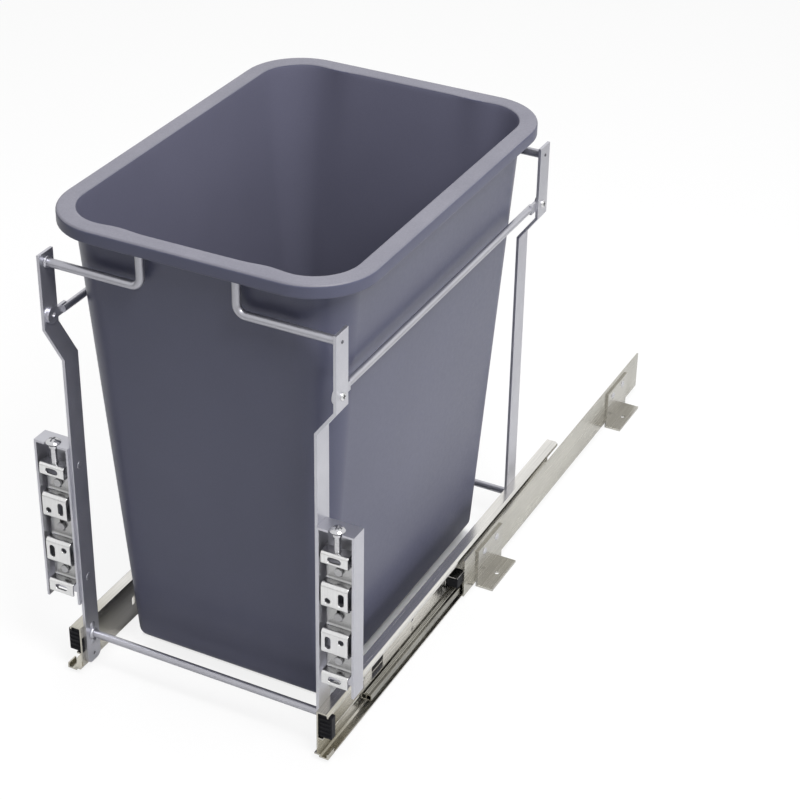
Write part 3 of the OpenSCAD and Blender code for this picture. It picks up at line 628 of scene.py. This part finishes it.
def wire_end(end, side):
    """Middle of the end of a rim wire that meets its upright, and the wire's radius."""
    low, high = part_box(f"{end}_rim_wire_{side}")
    radius = (high.y - low.y) / 2
    x = high.x if SIDES[side] > 0 else low.x
    return Vector((x, (low.y + high.y) / 2, low.z + radius)), radius


def weld_beads():
    """Uneven weld seams where rods and wires meet the uprights."""
    bm = bmesh.new()
    for end in ENDS:
        low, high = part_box(f"{end}_cross_rod")
        middle = (low + high) / 2
        out, inward = ROD_WELD
        for x in (low.x, high.x):
            centre = Vector((x - math.copysign(inward * MM, x), middle.y, middle.z))
            ring_of(bm, centre, (1, 0, 0), (high.z - low.z) / 2 / MM + out,
                    circle(WELD_R, BEAD_POINTS))
        out, inward = WIRE_WELD
        for side, sign in SIDES.items():
            centre, radius = wire_end(end, side)
            centre.x -= sign * inward * MM
            ring_of(bm, centre, (1, 0, 0), radius / MM + out,
                    circle(WELD_R * WIRE_WELD_SHARE, BEAD_POINTS))
    noise.seed_set(WELD_SEED)
    for v in bm.verts:
        v.co += noise.noise_vector(v.co * WELD_LUMPS) * WELD_LUMP_H
    face_outwards(bm)
    piece("weld_beads", bm, FINISHES["frame_paint"], "frame")


# Screw head: height, and share of its radius that is flat
HEAD_H = 1.6
HEAD_FLAT = 0.7
# Rings of a screw from the edge of its head to its tip: share of the head's radius, and height
SCREW_RINGS = ((0.90, 1.2), (1.0, 0.5), (1.0, 0.0), (0.57, 0.0), (0.57, -4.0))
# Cross recess: half its length, half its width and its depth
CROSS_HALF = 2.0
CROSS_WIDE = 0.55
CROSS_DEEP = 1.0


def cross_head(bm, radius):
    """Screw along Z with its head on the plane z = 0 and a cross recess in the head."""
    flat = 2 * HEAD_FLAT * radius
    outer = slot_edges(bm, flat, flat, True, lambda a, b: (a * MM, b * MM, HEAD_H * MM))
    arm = [Vector(p) for p in
           ((CROSS_HALF, -CROSS_WIDE), (CROSS_HALF, CROSS_WIDE), (CROSS_WIDE, CROSS_WIDE))]
    outline = [Matrix.Rotation(math.pi / 2 * k, 2) @ p for k in range(4) for p in arm]
    cross = loop(bm, [(p.x * MM, p.y * MM, HEAD_H * MM) for p in outline])[1]
    bmesh.ops.triangle_fill(bm, edges=outer + cross, use_beauty=True)
    deep, floor = extruded(bm, cross, (0, 0, -CROSS_DEEP * MM))
    bmesh.ops.triangle_fill(bm, edges=floor, use_beauty=True)
    # Recess faces take the dark paint as painted shade
    for face in {f for v in deep for f in v.link_faces}:
        face.material_index = 1
    for share, height in SCREW_RINGS:
        ring, outer = extruded(bm, outer)
        for v in ring:
            v.co.xy = v.co.xy.normalized() * share * radius * MM
            v.co.z = height * MM
    bmesh.ops.triangle_fill(bm, edges=outer, use_beauty=True)


def cross_head_screws():
    """Screws that hold the side rods on the uprights."""
    low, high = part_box("side_rod_screws")
    radius = (high.z - low.z) / 2
    bm = bmesh.new()
    for sign in SIDES.values():
        for y in (low.y + radius, high.y - radius):
            done = len(bm.verts)
            cross_head(bm, radius / MM)
            bm.verts.ensure_lookup_table()
            place = Matrix.Translation((sign * (high.x - HEAD_H * MM), y, low.z + radius))
            turn = Matrix.Rotation(sign * math.pi / 2, 4, "Y")
            bmesh.ops.transform(bm, matrix=place @ turn, verts=bm.verts[done:])
    face_outwards(bm)
    screws = piece("cross_head_screws", bm, HEAD_FINISH, "frame",
                   ["side_rod_screws"], smooth_deg=50)
    # Second finish for the cross recess: painted shade
    screws.data.materials.append(PAINTED_HOLE_SHADE)


# Share of its height that the head of a pressed rivet keeps
RIVET_PRESSED = 0.2


def pressed_rivets():
    """Rivets of the door channels, with heads pressed almost flush with the uprights."""
    face = abs(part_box("front_upright_left")[1].x)
    bm = merged_copy("channel_rivets")
    for sign in SIDES.values():
        heads = [v for v in bm.verts if 0 < sign * v.co.x < face]
        about = Matrix.Translation((-sign * face, 0, 0))
        bmesh.ops.scale(bm, vec=(RIVET_PRESSED, 1, 1), space=about, verts=heads)
    piece("pressed_rivets", bm, FINISHES["frame_paint"], "frame",
          ["channel_rivets"], smooth_deg=40)


# Punched ring: its radius and that of its section
PUNCH_R = 0.8
PUNCH_EDGE = 0.6


def punched_marks():
    """Small punched rings on the uprights behind the ends of the rim wires, painted near-black as
    shade in the hollows.
    """
    bm = bmesh.new()
    for end in ENDS:
        for side, sign in SIDES.items():
            centre = wire_end(end, side)[0]
            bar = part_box(f"{end}_upright_{side}")
            centre.x = bar[1].x if sign > 0 else bar[0].x
            ring_of(bm, centre, (1, 0, 0), PUNCH_R, circle(PUNCH_EDGE, BEAD_POINTS))
    face_outwards(bm)
    piece("punched_marks", bm, PAINTED_HOLE_SHADE, "frame")


# Thread: pitch, and radii of its core, root and crest
THREAD_PITCH = 1.0
THREAD_CORE = 2.3
THREAD_ROOT = 2.4
THREAD_CREST = 2.72
# Plain lengths of the shank at its foot and under the lid of the channel
THREAD_FOOT = 0.5
THREAD_HEAD = 5


def screw_thread(side):
    """Thread ridges on the shank of an adjusting screw."""
    low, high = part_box(f"adjuster_{side}")
    start = low.z + THREAD_FOOT * MM
    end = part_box(f"door_channel_{side}")[1].z - THREAD_HEAD * MM
    turns = int((end - start) / MM / THREAD_PITCH)
    profile = [(THREAD_CORE, 0)]
    for i in range(turns):
        profile += [(THREAD_ROOT, i * THREAD_PITCH), (THREAD_CREST, (i + 0.5) * THREAD_PITCH)]
    profile += [(THREAD_ROOT, turns * THREAD_PITCH), (THREAD_CORE, turns * THREAD_PITCH)]
    bm = bmesh.new()
    ring_of(bm, Vector(((low.x + high.x) / 2, (low.y + high.y) / 2, start)), (0, 0, 1), 0, profile)
    face_outwards(bm)
    piece(f"screw_thread_{side}", bm, FINISHES["screw_steel"], f"adjuster_{side}",
          smooth_deg=20)


# ---------------------------------------------------------------- slides

# Ribs of a plug: pitch, place of the first in pitches, height, reach, margin at the ends, rounding
RIB_PITCH = 4.2
RIB_FIRST = 0.6
RIB_H = 2.0
RIB_OUT = 0.6
RIB_MARGIN = 0.8
RIB_ROUND = 0.45
# Tab of a plug: thickness, height, gap to the upright, rounding
CHEEK_T = 0.3
CHEEK_H = 14
CHEEK_GAP = 0.4
CHEEK_ROUND = 0.1


def inner_face(side):
    """Place along X of the inner side of a drawer rail."""
    low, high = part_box(f"drawer_rail_{side}")
    return low.x if SIDES[side] > 0 else high.x


def plug_ribs(side):
    """Fine level ribs across the front of a rail plug, and its tab."""
    low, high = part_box(f"rail_plug_{side}")
    size = (high.x - low.x - 2 * RIB_MARGIN * MM, 2 * RIB_OUT * MM, RIB_H * MM)
    bm = bmesh.new()
    for i in range(int((high.z - low.z) / MM / RIB_PITCH)):
        z = low.z + (i + RIB_FIRST) * RIB_PITCH * MM
        block(bm, ((low.x + high.x) / 2, low.y, z), size, RIB_ROUND)
    plug_cheek(bm, side, low)
    piece(f"plug_ribs_{side}", bm, FINISHES["black_plastic"], "frame")


def plug_cheek(bm, side, foot):
    """Tab of the plug that lies on the side of the rail in front of the upright."""
    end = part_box(f"front_upright_{side}")[0].y - CHEEK_GAP * MM
    x = inner_face(side) - SIDES[side] * CHEEK_T / 2 * MM
    middle = (x, (foot.y + end) / 2, foot.z + CHEEK_H / 2 * MM)
    block(bm, middle, (CHEEK_T * MM, end - foot.y, CHEEK_H * MM), CHEEK_ROUND)


# Black block behind the release window, standing in for the shade there: place behind the plug's
# front, height on the rail, size, edges
CATCH_Y = 90
CATCH_Z = 13.4
CATCH_SIZE = (1.2, 22, 10)
CATCH_ROUND = 0.4
CATCH_RIM = 2


def window_shade_block(side):
    """Black block on the inner side of a drawer rail, seen through its window as painted shade."""
    sign = SIDES[side]
    size = Vector(CATCH_SIZE) * MM
    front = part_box(f"rail_plug_{side}")[0].y + CATCH_Y * MM
    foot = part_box(f"drawer_rail_{side}")[0].z + CATCH_Z * MM
    bm = bmesh.new()
    x = inner_face(side) - sign * size.x / 2
    # Dark block that shows as painted shade through the window
    block(bm, (x, front + size.y / 2, foot + size.z / 2), size, CATCH_ROUND, steps=3)
    inner = max(bm.faces, key=lambda f: f.calc_area() * (-sign * f.normal.x))
    bmesh.ops.inset_region(bm, faces=[inner], thickness=CATCH_RIM * MM, depth=-CATCH_ROUND * MM)
    piece(f"window_shade_block_{side}", bm, FINISHES["black_plastic"], "frame")


# Ridges: radius, depth of their middle under the rail's top, and places as shares of its width
RIDGE_R = 0.55
RIDGE_SINK = 0.1
RIDGE_PLACES = (-0.14, 0, 0.14)


def rolled_ridges(side):
    """Fine ridges rolled along the top of a middle rail, in steel lighter than the rail as painted
    highlights.
    """
    low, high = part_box(f"middle_rail_{side}")
    section = arc((0, -RIDGE_SINK), RIDGE_R, 0, 180, 8)
    bm = bmesh.new()
    for share in RIDGE_PLACES:
        x = (low.x + high.x) / 2 + share * (high.x - low.x)
        rows = [(x + a * MM, low.y + RIDGE_R * MM, high.z + b * MM) for a, b in section]
        extruded(bm, loop(bm, rows)[1], (0, high.y - low.y - 2 * RIDGE_R * MM, 0))
    bmesh.ops.holes_fill(bm, edges=[e for e in bm.edges if e.is_boundary], sides=12)
    face_outwards(bm)
    # Lighter slide steel on the ridges: painted highlights
    piece(f"rolled_ridges_{side}", bm, FINISHES["slide_steel"], f"middle_{side}")


# How far the front end of a fixed rail is cut back
RAIL_SET_BACK = 11


def set_back_rail(side):
    """Fixed rail whose front end stands back from the stop in its mouth."""
    name = f"fixed_rail_{side}"
    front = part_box(name)[0].y + RAIL_SET_BACK * MM
    bm = merged_copy(name)
    everything = bm.verts[:] + bm.edges[:] + bm.faces[:]
    cut = bmesh.ops.bisect_plane(bm, geom=everything, plane_co=(0, front, 0),
                                 plane_no=(0, -1, 0), clear_outer=True)["geom_cut"]
    bmesh.ops.triangle_fill(bm, edges=[g for g in cut if isinstance(g, bmesh.types.BMEdge)])
    face_outwards(bm)
    rail = piece(f"set_back_rail_{side}", bm, FINISHES["slide_steel"], "base",
                 [name])
    soften(rail, EDGE_ROUNDING["fixed_rail"])


# Clip of a stop: thickness, bend, and reach in front of the stop
CLIP_T = 0.8
CLIP_BEND = 1.6
CLIP_LEAD = 0.4


def stop_clip(side):
    """Bright bent clip that holds the plastic stop against its fixed rail."""
    sign = SIDES[side]
    low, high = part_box(f"rail_stop_{side}")
    near, far = (low.x, high.x) if sign > 0 else (high.x, low.x)
    near -= sign * CLIP_T / 2 * MM
    over = high.z + CLIP_T / 2 * MM
    path = bent_path([(near, low.z + CLIP_T * MM), (near, over), (far, over)], [CLIP_BEND * MM])
    bm = bmesh.new()
    edges = chain(bm, [(x, low.y - CLIP_LEAD * MM, z) for x, z in path])[1]
    extruded(bm, edges, (0, high.y - low.y + CLIP_LEAD * MM, 0))
    bmesh.ops.solidify(bm, geom=bm.faces[:], thickness=CLIP_T * MM)
    face_outwards(bm)
    piece(f"stop_clip_{side}", bm, FINISHES["screw_steel"], "base")


# ---------------------------------------------------------------- door brackets

# Lid of a door channel: width of its notch, thickness, and slack for telling it from the rest
NOTCH_W = 11.6
LID_T = 2
LID_SLACK = 0.5


def notched_channel(side):
    """Door channel whose lid is open round the neck of the adjuster."""
    name = f"door_channel_{side}"
    low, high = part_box(name)
    middle = (low.x + high.x) / 2
    half = NOTCH_W / 2 * MM
    lid = high.z - (LID_T + LID_SLACK) * MM
    bm = merged_copy(name)
    notch = [v for v in bm.verts if v.co.z > lid and abs(v.co.x - middle) < half]
    wider = half / max(abs(v.co.x - middle) for v in notch)
    bmesh.ops.scale(bm, vec=(wider, 1, 1), space=Matrix.Translation((-middle, 0, 0)), verts=notch)
    channel = piece(f"notched_channel_{side}", bm, FINISHES["frame_paint"], "frame",
                    [name])
    soften(channel, EDGE_ROUNDING["door_channel"])


# Heights of the plates and recesses of a door strip, from its foot up
PLATE_END_H = 11.5
PLATE_MID_H = 23
PLATES = (PLATE_END_H, PLATE_MID_H, PLATE_MID_H, PLATE_END_H)
RECESSES = (17.5, 21, 17.5)
# Depths of the middle of the sheet in a plate and in a recess
PLATE_Y = STRIP_T / 2
RECESS_Y = STRIP_RECESS + STRIP_T / 2
# Radii of the bends, of those at the ends, and of the edges of the sheet
STRIP_BEND = 3
END_BEND = 1.6
STRIP_EDGE = 0.35
# Least share of its normal along an axis for a face to count as flat
FLAT = 0.99
# Width and length of the holes and slots
DOOR_HOLE = (5, 5)
DOOR_SLOT = (5, 11.5)
CLAMP_SLOT = (4.6, 10.6)
ADJUSTER_HOLE = (5.6, 5.6)


def plate_feet():
    """Heights of the feet of the plates, in mm."""
    feet = [0]
    for plate, recess in zip(PLATES, RECESSES):
        feet.append(feet[-1] + plate + recess)
    return feet


def strip_corners():
    """Corners (y, z) of the middle of the sheet, from the foot of a strip to its top flange."""
    points = []
    for foot, height in zip(plate_feet(), PLATES):
        start, end = foot + PLATE_Y, foot + height - PLATE_Y
        points += [(RECESS_Y, start), (PLATE_Y, start), (PLATE_Y, end), (RECESS_Y, end)]
    return [(PLATE_Y, 0), *points[2:-1], (RECESS_Y + PLATE_Y, points[-1][1])]


def strip_slots(width):
    """Slots of a strip by face: the face's height and depth, then its slots."""
    feet = plate_feet()
    mid = [foot + height / 2 for foot, height in zip(feet, PLATES)]
    recess = [(feet[i] + PLATES[i] + feet[i + 1]) / 2 for i in range(len(RECESSES))]
    aside, drop = width / 4, PLATE_MID_H / 6
    lower = [(aside, mid[1] + drop, *DOOR_HOLE, True), (-aside, mid[1], *DOOR_SLOT, True)]
    upper = [(-aside, mid[2] - drop, *DOOR_HOLE, True), (aside, mid[2], *DOOR_SLOT, True)]
    faces = [(mid[0], PLATE_Y, [(0, mid[0], *DOOR_SLOT, False)]),
             (mid[3], PLATE_Y, [(0, mid[3], *DOOR_SLOT, False)]),
             (mid[1], PLATE_Y, lower), (mid[2], PLATE_Y, upper)]
    return faces + [(z, RECESS_Y, [(0, z, *CLAMP_SLOT, True)]) for z in recess]


def bent_strip(side):
    """Door strip bent from sheet into four plates and three recesses, with its slots and holes."""
    name = f"door_strip_{side}"
    low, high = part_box(name)
    width = (high.x - low.x) / MM
    middle = (low.x + high.x) / 2
    corners = strip_corners()
    bends = [STRIP_BEND] * (len(corners) - 2)
    bends[0] = bends[-1] = bends[-2] = END_BEND

    def at(x, y, z):
        return Vector((middle + x * MM, low.y + y * MM, low.z + z * MM))

    bm = bmesh.new()
    edges = chain(bm, [at(-width / 2, y, z) for y, z in bent_path(corners, bends)])[1]
    extruded(bm, edges, (width * MM, 0, 0))
    for z, y, slots in strip_slots(width):
        aim = at(0, y, z)
        flats = [f for f in bm.faces if abs(f.normal.y) > FLAT]
        face = min(flats, key=lambda f: (f.calc_center_median() - aim).length)
        pierce(bm, face, slots, lambda a, b: at(a, y, b))
    flanges = [f for f in bm.faces if abs(f.normal.z) > FLAT]
    top = max(flanges, key=lambda f: f.calc_center_median().z)
    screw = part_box(f"adjuster_{side}")
    screw_y = ((screw[0].y + screw[1].y) / 2 - low.y) / MM
    hole = (0, screw_y, *ADJUSTER_HOLE, True)
    pierce(bm, top, [hole], lambda a, b: at(a, b, corners[-1][1]))
    face_outwards(bm)
    strip = piece(f"bent_strip_{side}", bm, FINISHES["door_zinc"], name, [name],
                  smooth_deg=40)
    sheet = strip.modifiers.new("sheet", "SOLIDIFY")
    sheet.thickness = STRIP_T * MM
    sheet.offset = 0
    sheet.use_even_offset = True
    round_edges(strip, STRIP_EDGE, segments=2, from_deg=50)


# ---------------------------------------------------------------- stage, light, camera

WORLD_LIGHT = 0.16
# Floor: radius and height in metres, its tone for light and for the camera, and its share of white
FLOOR_R = 12
FLOOR_Z = -0.0005
FLOOR_TONE = 0.7
FLOOR_SEEN = 0.92
FLOOR_GLOW = 0.86
# Dark floor under the bin: set-back at its front, reach past its sides and rear, width of its edge
SHADE_IN = 16
SHADE_PAST = 9
SHADE_EDGE = 8


def lighter_for_camera(tree, plain, seen_as, also=()):
    """Value that is plain for light, and another one for the camera and the other named rays."""
    path = tree.nodes.new("ShaderNodeLightPath")
    seen = path.outputs["Is Camera Ray"]
    for name in also:
        seen = maths(tree, "MAXIMUM", seen, path.outputs[name])
    return remap(tree, seen, (0, 1), (plain, seen_as))


def white_world():
    """World that gives little light and shows white to the camera, metal and glass."""
    world = bpy.data.worlds.new("studio")
    world.use_nodes = True
    tree = world.node_tree
    back = tree.nodes["Background"]
    back.inputs["Color"].default_value = (1, 1, 1, 1)
    strength = lighter_for_camera(tree, WORLD_LIGHT, 1.0, ("Is Glossy Ray", "Is Transmission Ray"))
    tree.links.new(strength, back.inputs["Strength"])
    bpy.context.scene.world = world


def outside_foot(tree):
    """Value that is 0 on the floor under the bin and 1 round it."""
    low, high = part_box("bin")
    inset = (BIN_RIM_OVER + BIN_TAPER) * MM
    past = SHADE_PAST * MM
    spans = {"X": (low.x + inset - past, high.x - inset + past),
             "Y": (low.y + inset + SHADE_IN * MM, high.y - inset + past)}
    reach = []
    for axis, (start, end) in spans.items():
        off = maths(tree, "SUBTRACT", place_along(tree, axis), (start + end) / 2)
        reach.append(maths(tree, "SUBTRACT", maths(tree, "ABSOLUTE", off), (end - start) / 2))
    return remap(tree, maths(tree, "MAXIMUM", *reach), (-SHADE_EDGE * MM, 0), (0, 1), smooth=True)


def floor_finish():
    """Matt floor that shows almost white to the camera and keeps the shadow of the object."""
    mat = bpy.data.materials.new("pale_floor")
    mat.use_nodes = True
    tree = mat.node_tree
    tree.nodes.clear()
    out = tree.nodes.new("ShaderNodeOutputMaterial")
    matt = tree.nodes.new("ShaderNodeBsdfDiffuse")
    glow = tree.nodes.new("ShaderNodeEmission")
    mix = tree.nodes.new("ShaderNodeMixShader")
    tree.links.new(lighter_for_camera(tree, FLOOR_TONE, FLOOR_SEEN), matt.inputs["Color"])
    share = maths(tree, "MULTIPLY", lighter_for_camera(tree, 0, FLOOR_GLOW), outside_foot(tree))
    tree.links.new(share, mix.inputs["Fac"])
    tree.links.new(matt.outputs["BSDF"], mix.inputs[1])
    tree.links.new(glow.outputs["Emission"], mix.inputs[2])
    tree.links.new(mix.outputs["Shader"], out.inputs["Surface"])
    return mat


def pale_floor():
    """Large round floor just under the object."""
    bm = bmesh.new()
    bmesh.ops.create_circle(bm, cap_ends=True, segments=64, radius=FLOOR_R)
    bmesh.ops.translate(bm, verts=bm.verts, vec=(0, 0, FLOOR_Z))
    mesh = bpy.data.meshes.new("floor")
    bm.to_mesh(mesh)
    bm.free()
    mesh.materials.append(floor_finish())
    floor = bpy.data.objects.new("floor", mesh)
    bpy.context.scene.collection.objects.link(floor)


# Lamps, in metres: name, place and target from the bin's mouth, size, watts, mirrored by metal
LAMPS = (
    ("key", (1.25, -0.66, 1.69), (0, 0, 0), (1.0, 1.0), 42, True),
    ("low_right", (1.5, 0.1, -0.30), (0, 0, -0.25), (1.2, 0.6), 7, False),
    ("overhead", (0, 0, 1.6), (0, 0, 0), (1.2, 1.2), 30, False),
    ("rear_left", (-0.95, 1.8, 1.25), (0, 0, 0), (2.2, 1.4), 5, False),
)


def studio_light():
    """Soft lamps round the bin. Metal shows the white behind the ones that it doesn't mirror."""
    low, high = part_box("bin")
    mouth = Vector((0, (low.y + high.y) / 2, cad_box[1].z))
    for name, place, target, size, watts, mirrored in LAMPS:
        light = bpy.data.lights.new(name, "AREA")
        light.shape = "RECTANGLE"
        light.size, light.size_y = size
        light.energy = watts
        obj = bpy.data.objects.new(name, light)
        bpy.context.scene.collection.objects.link(obj)
        obj.visible_glossy = mirrored
        obj.location = mouth + Vector(place)
        obj.rotation_euler = (Vector(target) - Vector(place)).to_track_quat("-Z", "Y").to_euler()


# Place in metres, turn in radians, and focal length in pixels of an image of the given width
CAMERA_PLACE = (0.7350, -1.5459, 1.1129)
CAMERA_YAW, CAMERA_PITCH, CAMERA_ROLL = (math.radians(deg) for deg in (26.609, 31.558, 0.969))
FOCAL_PX = 2093.27
IMAGE_PX = 800
SENSOR = 36


def fitted_camera():
    """Camera at the fitted view: long lens from the front right, above the rim."""
    right = Vector((math.cos(CAMERA_YAW), math.sin(CAMERA_YAW), 0))
    ahead = Vector((-math.sin(CAMERA_YAW), math.cos(CAMERA_YAW), 0))
    look = ahead * math.cos(CAMERA_PITCH) - Vector((0, 0, math.sin(CAMERA_PITCH)))
    up = right.cross(look)
    tilted_right = right * math.cos(CAMERA_ROLL) + up * math.sin(CAMERA_ROLL)
    tilted_up = up * math.cos(CAMERA_ROLL) - right * math.sin(CAMERA_ROLL)
    data = bpy.data.cameras.new("fitted_view")
    data.sensor_width = SENSOR
    data.lens = SENSOR * FOCAL_PX / IMAGE_PX
    cam = bpy.data.objects.new("fitted_view", data)
    bpy.context.scene.collection.objects.link(cam)
    turn = Matrix((tilted_right, tilted_up, -look)).transposed().to_4x4()
    cam.matrix_world = Matrix.Translation(CAMERA_PLACE) @ turn
    bpy.context.scene.camera = cam


dress_cad_nodes()
moulded_bin()
weld_beads()
cross_head_screws()
pressed_rivets()
punched_marks()
for side_name in SIDES:
    screw_thread(side_name)
    plug_ribs(side_name)
    stop_clip(side_name)
    set_back_rail(side_name)
    notched_channel(side_name)
    window_shade_block(side_name)
    bent_strip(side_name)
    rolled_ridges(side_name)
white_world()
pale_floor()
studio_light()
fitted_camera()
bpy.context.scene.view_settings.view_transform = "Standard"
